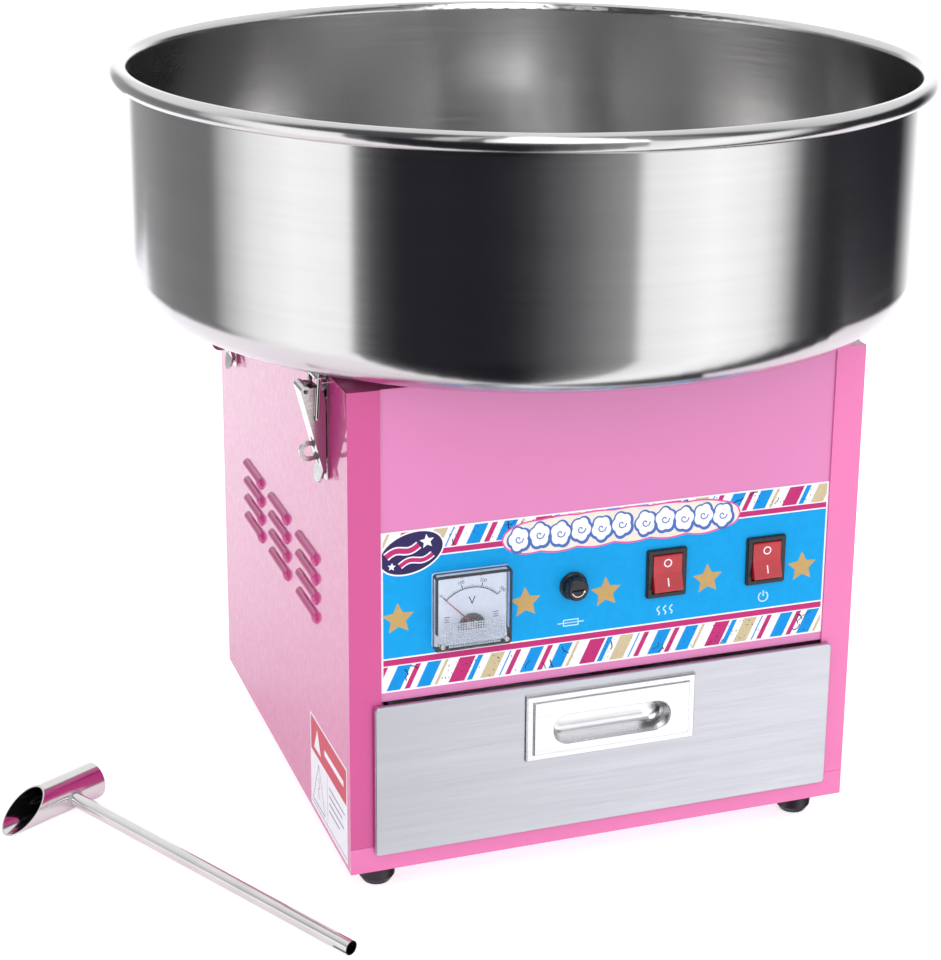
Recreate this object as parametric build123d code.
from build123d import *
import os
from math import asin, cos, degrees, pi, radians, sin, tan

# A countertop floss machine: a square sheet-steel cabinet with a drawer and a control strip,
# a wide spun-steel bowl latched on top of it, a motor with a heated spinner head, and a scoop
# that lies beside it. Millimetres, +Z up, front towards -Y. The origin is on the surface that
# the rubber feet stand on, under the middle of the cabinet.

# ---- driving dimensions ----
FOOT_HEIGHT = 18.0
CABINET_WIDTH = 330.0
CABINET_HEIGHT = 305.0
SHEET = 1.2
POST_WIDTH = 19.7
BASE_RAIL_HEIGHT = 16.6
FOOT_INSET = 22.5

BOWL_RADIUS = 249.5
BOWL_SHEET = 1.0
BOWL_CORNER = 23.5
BOWL_STANDOFF = 7.5
RIM_HEIGHT = 153.0
RIM_BEAD = 5.75
BOWL_HOLE = 66.0

DRAWER_WIDTH = 301.0
DRAWER_LOW = 12.0
DRAWER_HIGH = 109.5
DRAWER_PROUD = 4.0
TRAY_HALF_WIDTH = 134.0
TRAY_DEPTH = 278.0
TRAY_SHEET = 1.0

PANEL_LOW = 111.0
LABEL_LOW = 116.5
LABEL_HIGH = 217.8
LABEL_THICKNESS = 0.25
SWITCH_ROW = 171.0
FUSE_ROW = 170.0
METER_ROW = 165.3
METER_X = -90.1
FUSE_X = -24.7
HEAT_X = 36.0
POWER_X = 103.0

LATCH_Y = 119.0
HEAD_RADIUS = 57.0
MOTOR_RADIUS = 48.0
SHAFT_RADIUS = 5.0

# ---- levels and planes that follow from them ----
HALF = CABINET_WIDTH / 2
CABINET_LOW = FOOT_HEIGHT
CABINET_TOP = FOOT_HEIGHT + CABINET_HEIGHT
FRONT = -HALF
PANEL_FACE = FRONT + SHEET
LABEL_FACE = PANEL_FACE - LABEL_THICKNESS
BOWL_LOW = CABINET_TOP + BOWL_STANDOFF
RIM_CENTRE_Z = CABINET_TOP + RIM_HEIGHT
INNER = HALF - SHEET
HIDDEN = INNER - SHEET
FRONT_OPENING = HALF - POST_WIDTH
POST_LOW = CABINET_LOW + BASE_RAIL_HEIGHT + 0.2
UNDER_TOP = CABINET_TOP - SHEET
CORNERS = [(-1, -1), (1, -1), (-1, 1), (1, 1)]


# ---- small builders ----
def block(x, y, z):
    """A box between three (low, high) pairs."""
    size = (x[1] - x[0], y[1] - y[0], z[1] - z[0])
    return Pos(x[0], y[0], z[0]) * Box(*size, align=(Align.MIN, Align.MIN, Align.MIN))


def disc(radius, z, x=0.0, y=0.0):
    """A vertical cylinder between two heights."""
    low_end = (Align.CENTER, Align.CENTER, Align.MIN)
    return Pos(x, y, z[0]) * Cylinder(radius, z[1] - z[0], align=low_end)


def ring(outer, inner, z, x=0.0, y=0.0):
    """A vertical tube between two heights."""
    return disc(outer, z, x, y) - disc(inner, (z[0] - 1, z[1] + 1), x, y)


def bar_x(radius, x, y, z):
    """A cylinder along X."""
    low_end = (Align.CENTER, Align.CENTER, Align.MIN)
    return Pos(x[0], y, z) * Rot(0, 90, 0) * Cylinder(radius, x[1] - x[0], align=low_end)


def bar_y(radius, y, x, z):
    """A cylinder along Y."""
    low_end = (Align.CENTER, Align.CENTER, Align.MIN)
    return Pos(x, y[0], z) * Rot(-90, 0, 0) * Cylinder(radius, y[1] - y[0], align=low_end)


def spun(points):
    """The solid that a closed outline of (radius, height) points sweeps round the Z axis."""
    outline = [(r, 0, z) for r, z in points]
    return revolve(make_face(Polyline(*outline, close=True)), Axis.Z)


def across(points, y):
    """A closed (x, z) outline as a plate between two Y planes."""
    outline = [(px, y[0], pz) for px, pz in points]
    return extrude(make_face(Polyline(*outline, close=True)), amount=y[1] - y[0], dir=(0, 1, 0))


def along(points, x):
    """A closed (y, z) outline as a bar between two X planes."""
    outline = [(x[0], py, pz) for py, pz in points]
    return extrude(make_face(Polyline(*outline, close=True)), amount=x[1] - x[0], dir=(1, 0, 0))


def obround_y(length, height, y, x, z):
    """A plate with round ends, lying across X, between two Y planes."""
    radius = height / 2
    reach = length / 2 - radius
    middle = block((x - reach, x + reach), y, (z - radius, z + radius))
    return middle + bar_y(radius, y, x - reach, z) + bar_y(radius, y, x + reach, z)


def pan_head_screw(radius, length, head, height):
    """A screw standing on its tip along +Z, its head's underside at the origin."""
    shank = disc(radius, (-length, 0))
    dome = disc(head, (0, height))
    dome = fillet(dome.edges().group_by(Axis.Z)[-1], height * 0.6)
    slot = block((-head * 0.7, head * 0.7), (-0.35, 0.35), (height * 0.5, height + 1))
    cross = block((-0.35, 0.35), (-head * 0.7, head * 0.7), (height * 0.5, height + 1))
    return shank + dome - slot - cross


def save(node, *solids):
    """Writes one node's STEP file; several pieces of one kind go in together."""
    shape = solids[0] if len(solids) == 1 else Compound(children=list(solids))
    export_step(shape, f"parts/{node}.step")


# ---- cabinet ----
def base_pan():
    floor = block((-INNER, INNER), (-INNER, INNER), (CABINET_LOW, CABINET_LOW + SHEET))
    rail_top = CABINET_LOW + BASE_RAIL_HEIGHT
    pan = floor + block((-HALF, HALF), (FRONT, PANEL_FACE), (CABINET_LOW, rail_top))
    pan += block((-INNER, INNER), (HIDDEN, INNER), (CABINET_LOW, rail_top - 2))
    for side in (-1, 1):
        wall = sorted((side * HIDDEN, side * INNER))
        pan += block(wall, (-INNER, INNER), (CABINET_LOW, rail_top - 2))
    screw_hole = 2.3
    for sx, sy in CORNERS:
        place = HALF - FOOT_INSET
        pan -= disc(screw_hole, (CABINET_LOW - 1, CABINET_LOW + 5), sx * place, sy * place)
    slot_length, slot_width, slot_pitch = 70.0, 5.0, 14.0
    for side in (-1, 1):
        for row in range(6):
            y = (row - 2.5) * slot_pitch
            x = (side * 60 - slot_length / 2, side * 60 + slot_length / 2)
            slot = block(x, (y - slot_width / 2, y + slot_width / 2), (CABINET_LOW - 1, CABINET_LOW + 3))
            pan -= slot
    return pan


LOUVRE_COLUMNS = (70.5, 1.0, -71.0)
LOUVRE_LENGTH = 49.0
LOUVRE_TOP_ROW = 176.5
LOUVRE_PITCH = 12.8
LOUVRE_ROWS = 4
LOUVRE_RADIUS = 4.6
LOUVRE_PROUD = 3.4


def half_capsule(radius, length):
    """The +X half of a round-ended bar along Y, centred on the origin."""
    end, straight, turn = length / 2, length / 2 - radius, radius * cos(radians(45))
    edges = [
        Line((0, -end, 0), (0, end, 0)),
        ThreePointArc((0, end, 0), (0, straight + turn, turn), (0, straight, radius)),
        Line((0, straight, radius), (0, -straight, radius)),
        ThreePointArc((0, -straight, radius), (0, -straight - turn, turn), (0, -end, 0)),
    ]
    return revolve(make_face(Wire(edges)), Axis.Y, revolution_arc=180)


def louvre():
    """A pressed hood, open below, standing out along +X from a face at x = 0, and its hollow."""
    sunk = Pos(LOUVRE_PROUD - LOUVRE_RADIUS, 0, 0)
    hollow = sunk * half_capsule(LOUVRE_RADIUS - SHEET, LOUVRE_LENGTH - 2 * SHEET)
    hood = sunk * half_capsule(LOUVRE_RADIUS, LOUVRE_LENGTH) - hollow
    mouth_half = LOUVRE_LENGTH / 2 - LOUVRE_RADIUS
    mouth = block((0.2, LOUVRE_RADIUS), (-mouth_half, mouth_half), (-LOUVRE_RADIUS - 1, -1.4))
    return hood - mouth, hollow


def right_side_panel():
    """One bent sheet: the cabinet's side, its front post and its top return flange."""
    panel = block((INNER, HALF), (PANEL_FACE, INNER), (CABINET_LOW, CABINET_TOP))
    panel += block((FRONT_OPENING, HALF), (FRONT, PANEL_FACE), (POST_LOW, CABINET_TOP))
    panel += block((INNER - 14, INNER), (-INNER + 8, INNER - 16), (UNDER_TOP - SHEET, UNDER_TOP))
    hood, hollow = louvre()
    places = [(y, LOUVRE_TOP_ROW - row * LOUVRE_PITCH) for y in LOUVRE_COLUMNS for row in range(LOUVRE_ROWS)]
    spots = [Pos(HALF, y, CABINET_LOW + z) for y, z in places]
    panel = panel - [spot * hollow for spot in spots]
    return panel + [spot * hood for spot in spots]


def front_panel():
    low = CABINET_LOW + PANEL_LOW
    depth = (PANEL_FACE, PANEL_FACE + SHEET)
    half = HALF - 5
    panel = block((-half, half), depth, (low, UNDER_TOP))
    panel += block((-half, half), (PANEL_FACE, PANEL_FACE + 14), (low, low + SHEET))
    return panel - panel_cutouts()


def panel_cutouts():
    """The holes for the meter, the fuse holder and the two switches."""
    span = (FRONT - 5, FRONT + 10)
    cuts = bar_y(METER_BARREL + 0.3, span, METER_X, CABINET_LOW + METER_ROW)
    cuts += bar_y(FUSE_BARREL + 0.2, span, FUSE_X, CABINET_LOW + FUSE_ROW)
    for x in (HEAT_X, POWER_X):
        half_w, half_h = SWITCH_BODY[0] / 2 + 0.2, SWITCH_BODY[1] / 2 + 0.2
        z = CABINET_LOW + SWITCH_ROW
        cuts += block((x - half_w, x + half_w), span, (z - half_h, z + half_h))
    return cuts


def control_label():
    half = FRONT_OPENING - 0.3
    z = (CABINET_LOW + LABEL_LOW, CABINET_LOW + LABEL_HIGH)
    sheet = block((-half, half), (LABEL_FACE, PANEL_FACE), z)
    return sheet - panel_cutouts()


GLAND_X = 110.0
GLAND_Z = 60.0
GLAND_HOLE = 8.0


def back_panel():
    sheet = block((-HALF, HALF), (INNER, HALF), (CABINET_LOW, CABINET_TOP))
    for side in (-1, 1):
        flange = sorted((side * HIDDEN, side * INNER))
        sheet += block(flange, (INNER - 13, INNER), (POST_LOW + 1, UNDER_TOP - 2 * SHEET))
    slot_length, slot_height, slot_pitch = 70.0, 4.5, 11.0
    for side in (-1, 1):
        for row in range(9):
            z = CABINET_LOW + 150 + row * slot_pitch
            slot = obround_y(slot_length, slot_height, (INNER - 1, HALF + 1), side * 62, z)
            sheet -= slot
    sheet -= bar_y(GLAND_HOLE + 0.2, (INNER - 1, HALF + 1), GLAND_X, GLAND_Z)
    for x, z in back_screw_places():
        sheet -= bar_y(2.1, (INNER - 1, HALF + 1), x, z)
    return sheet


def back_screw_places():
    """Where the back panel is screwed down: three on each edge."""
    edge = HALF - 9
    heights = (CABINET_LOW + 24, CABINET_LOW + CABINET_HEIGHT / 2, CABINET_TOP - 20)
    return [(side * edge, z) for side in (-1, 1) for z in heights]


def back_panel_screws():
    screws = []
    for x, z in back_screw_places():
        screws.append(Pos(x, HALF, z) * Rot(-90, 0, 0) * pan_head_screw(2.0, 7, 3.8, 2.2))
    return screws


MOUNT_X, MOUNT_Y = 62.0, 44.0


def top_plate():
    plate = block((-INNER, INNER), (-INNER, INNER), (UNDER_TOP, CABINET_TOP))
    plate -= disc(60, (UNDER_TOP - 1, CABINET_TOP + 1))
    for sx, sy in CORNERS:
        plate -= disc(2.3, (UNDER_TOP - 1, CABINET_TOP + 1), sx * MOUNT_X, sy * MOUNT_Y)
    return plate


def rubber_foot():
    """A tapered bumper with a rounded toe and a counterbore for its screw."""
    top, bottom, toe = 12.0, 8.2, 4.0
    side = [(0, FOOT_HEIGHT), (top, FOOT_HEIGHT), (top, FOOT_HEIGHT - 4)]
    foot = spun(side + [(bottom + toe * 0.75, 4.5), (bottom, 0), (0, 0)])
    foot = fillet(foot.edges().sort_by(Axis.Z)[0], 1.6)
    return foot - disc(4.4, (-1, 7)) - disc(2.2, (0, FOOT_HEIGHT + 1))


def feet_and_screws():
    place = HALF - FOOT_INSET
    foot = rubber_foot()
    screw = Pos(0, 0, 7) * Rot(180, 0, 0) * pan_head_screw(2.1, 17, 4.0, 2.4)
    feet = [Pos(sx * place, sy * place, 0) * foot for sx, sy in CORNERS]
    screws = [Pos(sx * place, sy * place, 0) * screw for sx, sy in CORNERS]
    return feet, screws


# ---- bowl ----
def bowl():
    """A spun bowl: flat floor, round corner, straight wall and a rim rolled outwards."""
    low, sheet, corner = BOWL_LOW, BOWL_SHEET, BOWL_CORNER
    outer = BOWL_RADIUS
    turn = cos(radians(45))
    arc_centre = (outer - corner, low + corner)
    outer_mid = (arc_centre[0] + corner * turn, arc_centre[1] - corner * turn)
    bend = corner - sheet
    inner_mid = (arc_centre[0] + bend * turn, arc_centre[1] - bend * turn)

    def at(r, z):
        return (r, 0, z)

    edges = [
        Line(at(BOWL_HOLE, low), at(outer - corner, low)),
        ThreePointArc(at(outer - corner, low), at(*outer_mid), at(outer, low + corner)),
        Line(at(outer, low + corner), at(outer, RIM_CENTRE_Z)),
        Line(at(outer, RIM_CENTRE_Z), at(outer - sheet, RIM_CENTRE_Z)),
        Line(at(outer - sheet, RIM_CENTRE_Z), at(outer - sheet, low + corner)),
        ThreePointArc(at(outer - sheet, low + corner), at(*inner_mid), at(outer - corner, low + sheet)),
        Line(at(outer - corner, low + sheet), at(BOWL_HOLE, low + sheet)),
        Line(at(BOWL_HOLE, low + sheet), at(BOWL_HOLE, low)),
    ]
    shell = revolve(make_face(Wire(edges)), Axis.Z)
    lip = ring(BOWL_HOLE + sheet, BOWL_HOLE, (low, low + 9))
    return shell + lip + rolled_rim()


def rolled_rim():
    """The wall's edge, rolled outwards and down into an almost closed bead."""
    centre = (BOWL_RADIUS - BOWL_SHEET + RIM_BEAD, RIM_CENTRE_Z)
    section = Circle(RIM_BEAD) - Circle(RIM_BEAD - BOWL_SHEET)
    gap_end = radians(235)
    reach = 2 * RIM_BEAD
    drop = reach * sin(gap_end)
    corners = [(0, 0), (-reach, 0), (-reach, drop), (reach * cos(gap_end), drop)]
    section = section - make_face(Polyline(*corners, close=True))
    placed = Plane(origin=(centre[0], 0, centre[1]), x_dir=(1, 0, 0), z_dir=(0, -1, 0)) * section
    return revolve(placed, Axis.Z)


def bowl_gasket():
    """A silicone ring that the bowl's floor is clamped down on."""
    return fillet(ring(132, 122, (CABINET_TOP, BOWL_LOW)).edges(), 1.5)


def centre_collar():
    """A spun collar on the top plate that keeps sugar out of the cabinet."""
    bore, height, flange = 62.3, 19.0, 70.0
    tube = ring(bore + SHEET, bore, (CABINET_TOP, CABINET_TOP + height))
    return tube + ring(flange, bore, (CABINET_TOP, CABINET_TOP + SHEET))


# ---- draw latches: u runs outwards from the cabinet's side ----
PIVOT_U = 9.5
PIVOT_Z = CABINET_TOP - 13.7
CRANK = 12.25
BAIL_U = 7.6
BAIL_Z = PIVOT_Z - (CRANK**2 - (PIVOT_U - BAIL_U) ** 2) ** 0.5
WIRE = 1.5
CATCH_U = 5.9
CATCH_LIP_TOP = CABINET_TOP - 0.8
HOOK_Z = CATCH_LIP_TOP + WIRE + 0.2
EYE_U, EYE_Z = 10.3, CABINET_TOP - 48.3
EYE_RADIUS, EYE_HOLE = 6.0, 3.6
LATCH_LOW = CABINET_TOP - 65.5
BASE_HALF = 9.0
UPPER_RIVET = 9.2


def latch_base():
    """The plate riveted to the side, with two ears for the pivot and a padlock eye."""
    plate = block((0, 1.5), (-BASE_HALF, BASE_HALF), (LATCH_LOW, PIVOT_Z + 12))
    plate = fillet(plate.edges().filter_by(Axis.X), 4)
    ears = []
    for side in (-1, 1):
        ear_y = sorted((side * 5.3, side * 6.8))
        ear = bar_y(5.0, ear_y, PIVOT_U, PIVOT_Z)
        arm = [(0.5, PIVOT_Z - 10), (PIVOT_U + 1, PIVOT_Z - 4.9)]
        arm += [(PIVOT_U - 4, PIVOT_Z + 2), (0.5, PIVOT_Z - 2)]
        ear += across(arm, ear_y)
        ears.append(ear - bar_y(2.02, (ear_y[0] - 1, ear_y[1] + 1), PIVOT_U, PIVOT_Z))
    low, high = EYE_Z - EYE_RADIUS + 0.5, EYE_Z + EYE_RADIUS - 0.5
    eye = bar_y(EYE_RADIUS, (-1, 1), EYE_U, EYE_Z)
    eye += across([(0.5, low), (EYE_U, low), (EYE_U, high), (0.5, high)], (-1, 1))
    eye -= bar_y(EYE_HOLE, (-2, 2), EYE_U, EYE_Z)
    return plate + ears[0] + ears[1] + eye


def latch_pins():
    """The pivot pin and the two rivets that hold the base plate."""
    pin = bar_y(2.0, (-8.9, 8.9), PIVOT_U, PIVOT_Z)
    rivets = []
    for z in (LATCH_LOW + 4.2, PIVOT_Z + UPPER_RIVET):
        head = Pos(1.5, 0, z) * Rot(0, 90, 0) * disc(2.4, (0, 1.3))
        rivets.append(fillet(head.edges().sort_by(Axis.X)[-1], 0.9))
    return [pin] + rivets


def latch_lever():
    """A pressed channel: web outwards, two flanges, a rolled nose and a flared thumb tab."""
    half, wall = 8.7, 1.5
    top = (PIVOT_U + 7.0, PIVOT_Z + 3.6)
    foot = (4.2, LATCH_LOW + 7.5)
    profile = [(PIVOT_U - 7.3, PIVOT_Z - 6), (PIVOT_U - 6.5, PIVOT_Z + 3), (PIVOT_U - 3, PIVOT_Z + 6.2)]
    profile += [(PIVOT_U + 3, PIVOT_Z + 6.6), top, foot, (foot[0] - 2, foot[1] + 1)]
    lever = across(profile, (-half, half))
    nose = (PIVOT_U + 4.3, PIVOT_Z + 4.6)
    lever += bar_y(3.0, (-half, half), *nose)
    core = [(-5, PIVOT_Z + 12), (PIVOT_U + 2.5, PIVOT_Z + 12), (PIVOT_U + 2.5, PIVOT_Z + 5.5)]
    core += [(top[0] - wall, top[1] - 4), (foot[0] - wall, foot[1] - 1), (-5, foot[1] - 1)]
    lever -= across(core, (-half + wall, half - wall))
    lever -= bar_y(5.5, (-half + wall, half - wall), PIVOT_U, PIVOT_Z)
    lever -= bar_y(1.4, (-half - 1, half + 1), *nose)
    tab = block((-0.7, 0.7), (-half, half), (-10, 3))
    tab = fillet(tab.edges().filter_by(Axis.X).group_by(Axis.Z)[0], 8.0)
    lever += Pos(foot[0] - 0.7, 0, foot[1]) * Rot(0, -14, 0) * tab
    slot_half = EYE_RADIUS + 2.4
    lever -= block((-1, 30), (-1.8, 1.8), (EYE_Z - slot_half, EYE_Z + slot_half))
    lever -= bar_y(2.08, (-half - 1, half + 1), PIVOT_U, PIVOT_Z)
    return lever - bar_y(WIRE + 0.08, (-half - 1, half + 1), BAIL_U, BAIL_Z)


def latch_bail():
    """A bent wire: in through the lever's flanges, up each side and across over the catch."""
    leg_y, stub_y = 10.7, 7.4
    route = [
        (BAIL_U, -stub_y, BAIL_Z),
        (BAIL_U, -leg_y, BAIL_Z),
        (CATCH_U, -leg_y, HOOK_Z),
        (CATCH_U, leg_y, HOOK_Z),
        (BAIL_U, leg_y, BAIL_Z),
        (BAIL_U, stub_y, BAIL_Z),
    ]
    path = FilletPolyline(*route, radius=[1.7, 3.0, 3.0, 1.7])
    start = Plane(origin=path @ 0, z_dir=path % 0)
    return sweep(start * Circle(WIRE), path=path)


def bowl_catch():
    """The bracket under the bowl: a foot welded to the floor, a leg and a lip for the wire."""
    foot = block((-14, 4.2), (-7.5, 7.5), (BOWL_LOW - SHEET, BOWL_LOW))
    leg = block((3.0, 4.2), (-7.5, 7.5), (CATCH_LIP_TOP - SHEET, BOWL_LOW))
    lip = block((3.0, 8.4), (-7.5, 7.5), (CATCH_LIP_TOP - SHEET, CATCH_LIP_TOP))
    return foot + leg + lip


def at_latch(shape, side, end):
    """Puts a latch piece on the cabinet's side: u outwards from the side's face."""
    turned = shape if side > 0 else Rot(0, 0, 180) * shape
    return Pos(side * HALF, end * LATCH_Y, 0) * turned


# ---- drawer ----
HANDLE_Z = CABINET_LOW + 82.0
RECESS_Z = HANDLE_Z - 2.5
RECESS = (76.5, 19.0)
RECESS_DEPTH = 13.0
DRAWER_FACE = FRONT - DRAWER_PROUD


def recess_void(grow, y):
    return obround_y(RECESS[0] + 2 * grow, RECESS[1] + 2 * grow, y, 0, RECESS_Z)


def drawer_front():
    half = DRAWER_WIDTH / 2
    z = (CABINET_LOW + DRAWER_LOW, CABINET_LOW + DRAWER_HIGH)
    plate = block((-half, half), (DRAWER_FACE, FRONT - 0.8), z)
    plate = fillet(plate.edges().filter_by(Axis.Y), 2.5)
    front_edges = plate.edges().group_by(Axis.Y)[0]
    plate = fillet(front_edges, 0.8)
    inside = block((-half + SHEET, half - SHEET), (DRAWER_FACE + SHEET, FRONT + 1),
                   (z[0] + SHEET, z[1] - SHEET))
    return plate - inside - recess_void(1.3, (DRAWER_FACE - 1, FRONT + 2))


TRAY_FRONT = DRAWER_FACE + SHEET
TRAY_LOW = CABINET_LOW + 24.0
TRAY_HIGH = CABINET_LOW + 98.0
RUNNER_LOW = TRAY_HIGH - 14.0


def drawer_tray():
    outer, sheet = TRAY_HALF_WIDTH, TRAY_SHEET
    y = (TRAY_FRONT, TRAY_FRONT + TRAY_DEPTH)
    tray = block((-outer, outer), y, (TRAY_LOW, TRAY_HIGH))
    inner = outer - sheet
    tray -= block((-inner, inner), (y[0] + sheet, y[1] - sheet), (TRAY_LOW + sheet, TRAY_HIGH + 1))
    rest = RUNNER_LOW + SHEET + 0.3
    for side in (-1, 1):
        ledge = sorted((side * outer, side * (outer + 7)))
        tray += block(ledge, (FRONT + 10, y[1]), (rest, rest + sheet))
    return tray - recess_void(1.3, (y[0] - 1, y[0] + 2))


def drawer_runner(side):
    """A channel, open towards the middle, that the tray's ledge slides in."""
    near, far = TRAY_HALF_WIDTH + 1.5, INNER
    y = (FRONT + 6, 118)
    z = (RUNNER_LOW, RUNNER_LOW + 12)
    outside = block(sorted((side * near, side * far)), y, z)
    gap = sorted((side * (near - 1), side * (far - SHEET)))
    return outside - block(gap, (y[0] - 1, y[1] + 1), (z[0] + SHEET, z[1] - SHEET))


def drawer_handle():
    """A flush pull: a stepped plate with a finger cup pressed through it."""
    half_w, half_h = 55.75, 21.75
    z = (HANDLE_Z - half_h, HANDLE_Z + half_h)
    face = DRAWER_FACE - 3.4
    plate = block((-half_w, half_w), (DRAWER_FACE - 2.2, DRAWER_FACE), z)
    plate = chamfer(plate.edges().group_by(Axis.Y)[0], 0.9)
    inset = 4.2
    inner_w = half_w - inset
    raised = block((-inner_w, inner_w), (face, DRAWER_FACE - 1.2), (z[0] + inset, z[1] - inset))
    raised = fillet(raised.edges().group_by(Axis.Y)[0], 0.9)
    cup_floor = face + RECESS_DEPTH
    cup = recess_void(1.1, (DRAWER_FACE - 1, cup_floor + 1.1))
    cup = fillet(cup.edges().group_by(Axis.Y)[-1], 6.0)
    scoop = recess_void(0, (face - 1, cup_floor))
    scoop = fillet(scoop.edges().group_by(Axis.Y)[-1], 5.5)
    pull = plate + raised + cup - scoop
    edges = pull.edges().group_by(Axis.Y)[0]
    edges = [edge for edge in edges if abs(edge.center().X) < inner_w - 4]
    mouth = [edge for edge in edges if abs(edge.center().Z - RECESS_Z) < RECESS[1] / 2 + 0.5]
    return fillet(mouth, 0.8)


# ---- voltmeter ----
METER_SIZE = 48.0
METER_BARREL = 19.0
METER_BASE_Y = LABEL_FACE - 2.0
METER_FRONT_Y = LABEL_FACE - 9.0
METER_Z = CABINET_LOW + METER_ROW
NEEDLE_Z = METER_Z - 9.0
NEEDLE_REST = 45.0


def meter_square(half, y):
    return block((METER_X - half, METER_X + half), y, (METER_Z - half, METER_Z + half))


def meter_case():
    flange = meter_square(METER_SIZE / 2, (METER_BASE_Y, LABEL_FACE))
    flange = fillet(flange.edges().filter_by(Axis.Y), 2)
    barrel = bar_y(METER_BARREL, (LABEL_FACE, PANEL_FACE + 27), METER_X, METER_Z)
    case = flange + barrel
    for side in (-1, 1):
        case += bar_y(2.0, (PANEL_FACE + 27, PANEL_FACE + 38), METER_X + side * 9, METER_Z)
    return case


def meter_dial():
    """The scale plate, with a half-round cover over the needle's bearing."""
    z = (METER_Z - 13, METER_Z + 21)
    plate = block((METER_X - 21, METER_X + 21), (METER_BASE_Y - 1, METER_BASE_Y), z)
    boss = bar_y(8.0, (METER_BASE_Y - 2.2, METER_BASE_Y - 1), METER_X, NEEDLE_Z - 2.5)
    return plate + (boss & block((METER_X - 9, METER_X + 9), (METER_BASE_Y - 3, METER_BASE_Y), z))


def meter_cover():
    """The clear moulded cover: a thin box with a bevelled edge and a thick lower band."""
    half = METER_SIZE / 2
    cover = meter_square(half, (METER_FRONT_Y, METER_BASE_Y))
    cover = fillet(cover.edges().filter_by(Axis.Y), 2)
    cover = chamfer(cover.edges().group_by(Axis.Y)[0], 1.8)
    room = meter_square(half - 2.0, (METER_FRONT_Y + 1.6, METER_BASE_Y + 1))
    width = (METER_X - half, METER_X + half)
    lower = block(width, (METER_FRONT_Y, METER_BASE_Y - 0.2), (METER_Z - half, METER_Z - 13.6))
    cover -= room - lower
    for x, z in meter_screw_places():
        cover -= bar_y(0.92, (METER_FRONT_Y - 1, METER_FRONT_Y + 4.5), x, z)
    return cover


def meter_needle():
    """A fine pointer on its hub, leaning left at zero."""
    y = (METER_BASE_Y - 3.4, METER_BASE_Y - 3.0)
    hub = bar_y(1.8, (METER_BASE_Y - 4.2, METER_BASE_Y - 2.5), 0, 0)
    pointer = across([(-0.5, -4), (0.5, -4), (0.22, 25), (-0.22, 25)], y)
    return Pos(METER_X, 0, NEEDLE_Z) * Rot(0, -NEEDLE_REST, 0) * (hub + pointer)


def meter_screw_places():
    return [(METER_X + side * 20.0, METER_Z - 20.0) for side in (-1, 1)]


def meter_screws():
    screw = Rot(90, 0, 0) * pan_head_screw(0.9, 4.0, 1.7, 0.9)
    return [Pos(x, METER_FRONT_Y, z) * screw for x, z in meter_screw_places()]


# ---- fuse holder ----
FUSE_BARREL = 6.0
FUSE_CAP_RADIUS = 7.2
FUSE_Z = CABINET_LOW + FUSE_ROW
FUSE_FLANGE_Y = LABEL_FACE - 2.6
FUSE_CAP_Y = LABEL_FACE - 9.0


def fuse_holder():
    flange = bar_y(8.8, (FUSE_FLANGE_Y, LABEL_FACE), FUSE_X, FUSE_Z)
    flange = chamfer(flange.edges().group_by(Axis.Y)[0], 1.2)
    end = PANEL_FACE + 32
    barrel = bar_y(FUSE_BARREL, (LABEL_FACE, end), FUSE_X, FUSE_Z)
    tail = block((FUSE_X - 1.5, FUSE_X + 1.5), (end, end + 7), (FUSE_Z - 0.4, FUSE_Z + 0.4))
    bore = bar_y(4.4, (FUSE_FLANGE_Y - 1, PANEL_FACE + 28), FUSE_X, FUSE_Z)
    return flange + barrel + tail - bore


def fuse_nut():
    nut = Pos(FUSE_X, PANEL_FACE + SHEET, FUSE_Z) * Rot(-90, 0, 0) * extrude(RegularPolygon(9, 6), amount=4)
    return nut - bar_y(FUSE_BARREL + 0.02, (PANEL_FACE, PANEL_FACE + 9), FUSE_X, FUSE_Z)


def fuse_cartridge():
    """The glass fuse with its two metal ends."""
    y = (PANEL_FACE + 4, PANEL_FACE + 24)
    body = bar_y(2.3, y, FUSE_X, FUSE_Z)
    for end in ((y[0], y[0] + 5), (y[1] - 5, y[1])):
        body += bar_y(2.6, end, FUSE_X, FUSE_Z)
    return body


def fuse_cap():
    """A round cap with shallow grips and a screwdriver slot, on a sleeve that grips the fuse."""
    cap = bar_y(FUSE_CAP_RADIUS, (FUSE_CAP_Y, FUSE_FLANGE_Y - 0.3), FUSE_X, FUSE_Z)
    cap = fillet(cap.edges().group_by(Axis.Y)[0], 1.8)
    grips, reach = 16, FUSE_CAP_RADIUS + 0.3
    for step in range(grips):
        turn = step * 2 * pi / grips
        x, z = FUSE_X + reach * cos(turn), FUSE_Z + reach * sin(turn)
        cap -= bar_y(0.7, (FUSE_CAP_Y + 2, FUSE_FLANGE_Y), x, z)
    slot_z = (FUSE_Z - 0.6, FUSE_Z + 0.6)
    cap -= block((FUSE_X - 4, FUSE_X + 4), (FUSE_CAP_Y - 1, FUSE_CAP_Y + 1.2), slot_z)
    sleeve = bar_y(4.1, (FUSE_FLANGE_Y - 0.3, PANEL_FACE + 8), FUSE_X, FUSE_Z)
    return cap + sleeve - bar_y(2.9, (PANEL_FACE + 3, PANEL_FACE + 9), FUSE_X, FUSE_Z)


# ---- rocker switches ----
SWITCH_BEZEL = (26.5, 31.5)
SWITCH_BODY = (22.0, 28.0)
SWITCH_OPENING = (19.6, 25.8)
SWITCH_Z = CABINET_LOW + SWITCH_ROW
ROCKER_AXIS_Y = LABEL_FACE + 0.5
ROCKER_TILT = 9.0
ROCKER_HALF = 9.4
TRUNNION = 1.2
BEZEL_PROUD = 2.4


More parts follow.
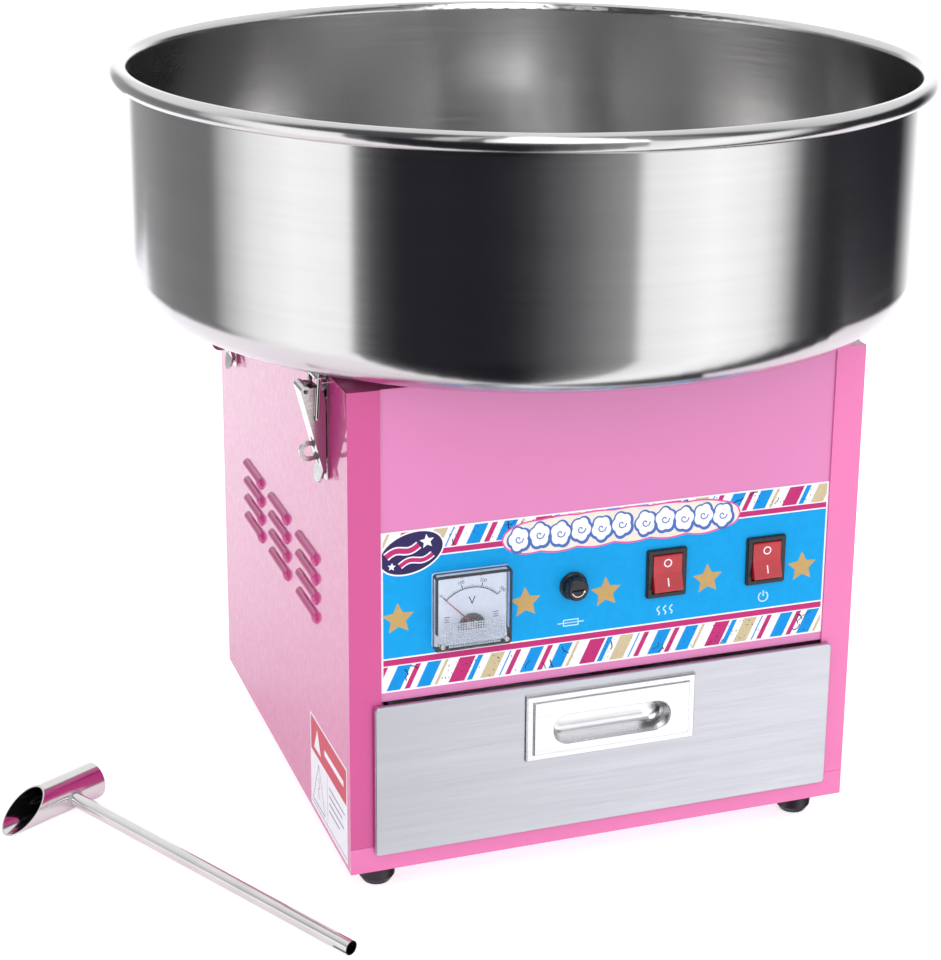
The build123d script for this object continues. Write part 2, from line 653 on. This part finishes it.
def switch_body(x):
    def upright(size, y):
        return block((x - size[0] / 2, x + size[0] / 2), y, (SWITCH_Z - size[1] / 2, SWITCH_Z + size[1] / 2))

    bezel = upright(SWITCH_BEZEL, (LABEL_FACE - BEZEL_PROUD, LABEL_FACE))
    bezel = fillet(bezel.edges().filter_by(Axis.Y), 1.5)
    bezel = fillet(bezel.edges().group_by(Axis.Y)[0], 1.1)
    body = bezel + upright(SWITCH_BODY, (LABEL_FACE, PANEL_FACE + 24))
    for dx in (-6, 6):
        for dz in (-8, 8):
            y = (PANEL_FACE + 24, PANEL_FACE + 32)
            body += block((x + dx - 0.4, x + dx + 0.4), y, (SWITCH_Z + dz - 3, SWITCH_Z + dz + 3))
    body -= bar_x(TRUNNION + 0.15, (x - ROCKER_HALF - 1.2, x + ROCKER_HALF + 1.2), ROCKER_AXIS_Y, SWITCH_Z)
    return body - upright(SWITCH_OPENING, (LABEL_FACE - 4, PANEL_FACE + 12))


def rocker(x):
    """A rocker on two stub pins: flat halves meet in a shallow valley, the lower half out when off."""
    reach, valley, depth = 12.1, 3.5, 5.0
    rise = valley + reach * tan(radians(ROCKER_TILT))
    profile = [(-rise, reach), (-valley, 0), (-rise, -reach), (depth, -9.5), (depth, 9.5)]
    shape = along(profile, (-ROCKER_HALF, ROCKER_HALF))
    shape = fillet(shape.edges().filter_by(Axis.X).group_by(Axis.Y)[0], 1.0)
    shape += bar_x(TRUNNION, (-ROCKER_HALF - 1, ROCKER_HALF + 1), 0, 0)
    return Pos(x, ROCKER_AXIS_Y, SWITCH_Z) * Rot(-ROCKER_TILT, 0, 0) * shape


# ---- cable entry ----
def cable_gland():
    """A bushing in the back panel that the supply lead would leave through."""
    flange = bar_y(12, (HALF, HALF + 5), GLAND_X, GLAND_Z)
    flange = fillet(flange.edges().group_by(Axis.Y)[-1], 2.0)
    neck = bar_y(GLAND_HOLE, (INNER - 12, HALF), GLAND_X, GLAND_Z)
    return flange + neck - bar_y(4.5, (INNER - 13, HALF + 6), GLAND_X, GLAND_Z)


def gland_nut():
    nut = Pos(GLAND_X, INNER - 6, GLAND_Z) * Rot(-90, 0, 0) * extrude(RegularPolygon(12, 6), amount=6)
    return nut - bar_y(GLAND_HOLE + 0.02, (INNER - 8, INNER + 1), GLAND_X, GLAND_Z)


def terminal_block():
    z = (CABINET_LOW + SHEET, CABINET_LOW + SHEET + 16)
    strip = block((20, 80), (128, 148), z)
    for step in range(5):
        x = 26 + step * 12
        strip -= disc(3.2, (z[1] - 7, z[1] + 1), x, 133)
        strip -= disc(3.2, (z[1] - 7, z[1] + 1), x, 143)
    return strip


# ---- motor ----
BRACKET_Z = CABINET_TOP - 35.0
MOTOR_LOW = BRACKET_Z - 106.0
SHAFT_LOW = MOTOR_LOW - 22.0
HEAD_LOW = BOWL_LOW + 15.0


def motor_housing():
    body = disc(MOTOR_RADIUS, (MOTOR_LOW, BRACKET_Z))
    body = fillet(body.edges().group_by(Axis.Z)[0], 5)
    body -= ring(MOTOR_RADIUS + 1, MOTOR_RADIUS - 1.5, (BRACKET_Z - 22, BRACKET_Z - 19))
    body -= ring(MOTOR_RADIUS + 1, MOTOR_RADIUS - 1.5, (MOTOR_LOW + 20, MOTOR_LOW + 23))
    for step in range(8):
        turn = step * 45
        vent = block((28, 42), (-2.5, 2.5), (MOTOR_LOW - 1, MOTOR_LOW + 6))
        body -= Rot(0, 0, turn) * vent
    return body - disc(SHAFT_RADIUS + 0.4, (MOTOR_LOW - 1, BRACKET_Z + 1))


def motor_bracket():
    plate = block((-76, 76), (-58, 58), (BRACKET_Z, BRACKET_Z + 3))
    plate = fillet(plate.edges().filter_by(Axis.Z), 8)
    plate -= disc(20, (BRACKET_Z - 1, BRACKET_Z + 4))
    for sx, sy in CORNERS:
        plate -= disc(2.3, (BRACKET_Z - 1, BRACKET_Z + 4), sx * MOUNT_X, sy * MOUNT_Y)
    return plate


def rubber_mounts():
    mounts = []
    z = (BRACKET_Z + 3, UNDER_TOP)
    waist = (z[0] + z[1]) / 2
    for sx, sy in CORNERS:
        outline = [(2.3, z[0]), (9, z[0]), (9, z[0] + 6), (6.5, waist)]
        outline += [(9, z[1] - 6), (9, z[1]), (2.3, z[1])]
        mounts.append(Pos(sx * MOUNT_X, sy * MOUNT_Y, 0) * spun(outline))
    return mounts


def mount_screws():
    screw = pan_head_screw(2.0, CABINET_TOP - BRACKET_Z + 3, 4.5, 2.5)
    return [Pos(sx * MOUNT_X, sy * MOUNT_Y, CABINET_TOP) * screw for sx, sy in CORNERS]


def motor_shaft():
    shaft = disc(SHAFT_RADIUS, (SHAFT_LOW, HEAD_LOW + 6))
    return chamfer(shaft.edges().group_by(Axis.Z)[-1], 0.8)


def cooling_fan():
    z = (SHAFT_LOW + 2, SHAFT_LOW + 14)
    fan = disc(12, z)
    for step in range(6):
        blade = block((10, 40), (-0.8, 0.8), (-6, 6))
        fan += Rot(0, 0, step * 60) * Pos(0, 0, sum(z) / 2) * Rot(35, 0, 0) * blade
    return fan - disc(SHAFT_RADIUS + 0.01, (z[0] - 8, z[1] + 8))


RING_LEVELS = (BRACKET_Z + 9, BRACKET_Z + 21)


def slip_ring_hub():
    hub = disc(15, (BRACKET_Z + 5, BRACKET_Z + 31))
    for z in RING_LEVELS:
        hub -= ring(16, 13, (z, z + 6))
    return hub - disc(SHAFT_RADIUS + 0.01, (BRACKET_Z, BRACKET_Z + 40))


def slip_rings():
    return [ring(16.5, 13.01, (z, z + 6)) for z in RING_LEVELS]


def brush_holder():
    post = block((34, 42), (-9, 9), (BRACKET_Z + 3, BRACKET_Z + 32))
    for z in RING_LEVELS:
        post += block((24, 34), (-6, 6), (z - 1.5, z + 7.5))
        post -= block((20, 38), (-4, 4), (z + 0.5, z + 5.5))
    return post


def carbon_brushes():
    return [block((17, 37), (-3.8, 3.8), (z + 0.7, z + 5.3)) for z in RING_LEVELS]


# ---- spinner head ----
BAND_Z = (HEAD_LOW + 4, HEAD_LOW + 42)


def head_base():
    floor = disc(HEAD_RADIUS, (HEAD_LOW, HEAD_LOW + 4))
    hub = disc(11, (HEAD_LOW - 8, HEAD_LOW + 12))
    return floor + hub - disc(SHAFT_RADIUS + 0.02, (HEAD_LOW - 9, HEAD_LOW + 13))


def head_band():
    """The perforated band that the melted sugar is flung through."""
    band = ring(HEAD_RADIUS - 2, HEAD_RADIUS - 3.2, BAND_Z)
    for step in range(36):
        slot = block((HEAD_RADIUS - 6, HEAD_RADIUS), (-1.2, 1.2), (BAND_Z[0] + 4, BAND_Z[1] - 4))
        band -= Rot(0, 0, step * 10) * slot
    return band


def heating_element():
    """A flat resistance ribbon folded round the head in a zigzag."""
    folds, inner, outer, half = 28, 41.0, 48.0, 0.45
    outline = []
    for shift in (half, -half):
        points = []
        for step in range(2 * folds):
            radius = (outer if step % 2 else inner) + shift
            turn = step * pi / folds
            points.append((radius * cos(turn), radius * sin(turn)))
        outline.append(points)
    shape = make_face(Polyline(*outline[0], close=True)) - make_face(Polyline(*outline[1], close=True))
    return Pos(0, 0, BAND_Z[0] + 4) * extrude(shape, amount=28)


def head_cap():
    """The lid of the head, dished down to the funnel that sugar is poured into."""
    top = BAND_Z[1]
    upper = [(HEAD_RADIUS, top), (HEAD_RADIUS, top + 5), (38, top + 15), (25, top + 16.5), (18, top - 8)]
    under = [(16.4, top - 8), (23.4, top + 14.5), (37, top + 13.2)]
    under += [(HEAD_RADIUS - 2, top + 3.8), (HEAD_RADIUS - 2, top)]
    return spun(upper + under)


# ---- scoop, lying beside the machine ----
CUP_RADIUS = 12.0
CUP_LENGTH = 72.0
CUP_CUT = 29.0
CUP_SHEET = 0.8
HANDLE_RADIUS = 4.5
HANDLE_LENGTH = 263.0
HANDLE_AT = 25.0
SCOOP_TURN = 209.5
SCOOP_PLACE = (-288.5, 19.5)


def placed_scoop(shape):
    """Lays the scoop down: it rests on the cup and on the handle's far end."""
    tilt = degrees(asin((CUP_RADIUS - HANDLE_RADIUS) / HANDLE_LENGTH))
    spot = Pos(SCOOP_PLACE[0], SCOOP_PLACE[1], CUP_RADIUS)
    return spot * Rot(0, 0, SCOOP_TURN) * Rot(-tilt, 0, 0) * shape


def scoop_cup():
    cup = bar_x(CUP_RADIUS, (0, CUP_LENGTH), 0, 0)
    cup = fillet(cup.edges().group_by(Axis.X)[0], 0.7)
    cup -= bar_x(CUP_RADIUS - CUP_SHEET, (1, CUP_LENGTH + 1), 0, 0)
    lean = CUP_CUT / (2 * CUP_RADIUS)
    reach = 2 * CUP_RADIUS
    mid = CUP_LENGTH - CUP_CUT / 2
    beyond = CUP_LENGTH + 80
    wedge = [(mid - lean * reach, reach), (mid + lean * reach, -reach), (beyond, -reach), (beyond, reach)]
    return cup - across(wedge, (-20, 20))


def scoop_handle():
    handle = bar_y(HANDLE_RADIUS, (5, HANDLE_LENGTH), HANDLE_AT, 0)
    handle -= bar_y(HANDLE_RADIUS - 0.8, (5, HANDLE_LENGTH + 1), HANDLE_AT, 0)
    return handle - bar_x(CUP_RADIUS + 0.01, (-1, 80), 0, 0)


# ---- writing every node ----
def main():
    os.makedirs("parts", exist_ok=True)
    save("base_pan", base_pan())
    side_sheet = right_side_panel()
    save("right_side_panel", side_sheet)
    save("left_side_panel", mirror(side_sheet, about=Plane.YZ))
    save("front_panel", front_panel())
    save("back_panel", back_panel())
    save("top_plate", top_plate())
    save("control_label", control_label())
    feet, screws = feet_and_screws()
    save("rubber_feet", *feet)
    save("foot_screws", *screws)
    save("back_panel_screws", *back_panel_screws())
    save("bowl", bowl())
    save("bowl_gasket", bowl_gasket())
    save("centre_collar", centre_collar())
    sides = {"left": -1, "right": 1}
    ends = {"front": -1, "rear": 1}
    places = [(side, end) for side in sides for end in ends]
    save("bowl_catches", *[at_latch(bowl_catch(), sides[s], ends[e]) for s, e in places])
    save("latch_bases", *[at_latch(latch_base(), sides[s], ends[e]) for s, e in places])
    save("latch_pins", *[at_latch(pin, sides[s], ends[e]) for s, e in places for pin in latch_pins()])
    lever, bail = latch_lever(), latch_bail()
    for side, end in places:
        save(f"latch_lever_{end}_{side}", at_latch(lever, sides[side], ends[end]))
        save(f"latch_bail_{end}_{side}", at_latch(bail, sides[side], ends[end]))
    save("drawer_runners", drawer_runner(-1), drawer_runner(1))
    save("drawer_front", drawer_front())
    save("drawer_tray", drawer_tray())
    save("drawer_handle", drawer_handle())
    save("meter_case", meter_case())
    save("meter_dial", meter_dial())
    save("meter_cover", meter_cover())
    save("meter_needle", meter_needle())
    save("meter_screws", *meter_screws())
    save("fuse_holder", fuse_holder())
    save("fuse_nut", fuse_nut())
    save("fuse_cartridge", fuse_cartridge())
    save("fuse_cap", fuse_cap())
    save("heat_switch", switch_body(HEAT_X))
    save("power_switch", switch_body(POWER_X))
    save("heat_rocker", rocker(HEAT_X))
    save("power_rocker", rocker(POWER_X))
    save("cable_gland", cable_gland())
    save("gland_nut", gland_nut())
    save("terminal_block", terminal_block())
    save("motor_housing", motor_housing())
    save("motor_bracket", motor_bracket())
    save("rubber_mounts", *rubber_mounts())
    save("mount_screws", *mount_screws())
    save("motor_shaft", motor_shaft())
    save("cooling_fan", cooling_fan())
    save("slip_ring_hub", slip_ring_hub())
    save("slip_rings", *slip_rings())
    save("brush_holder", brush_holder())
    save("carbon_brushes", *carbon_brushes())
    save("head_base", head_base())
    save("head_band", head_band())
    save("heating_element", heating_element())
    save("head_cap", head_cap())
    save("scoop_cup", placed_scoop(scoop_cup()))
    save("scoop_handle", placed_scoop(scoop_handle()))


main()
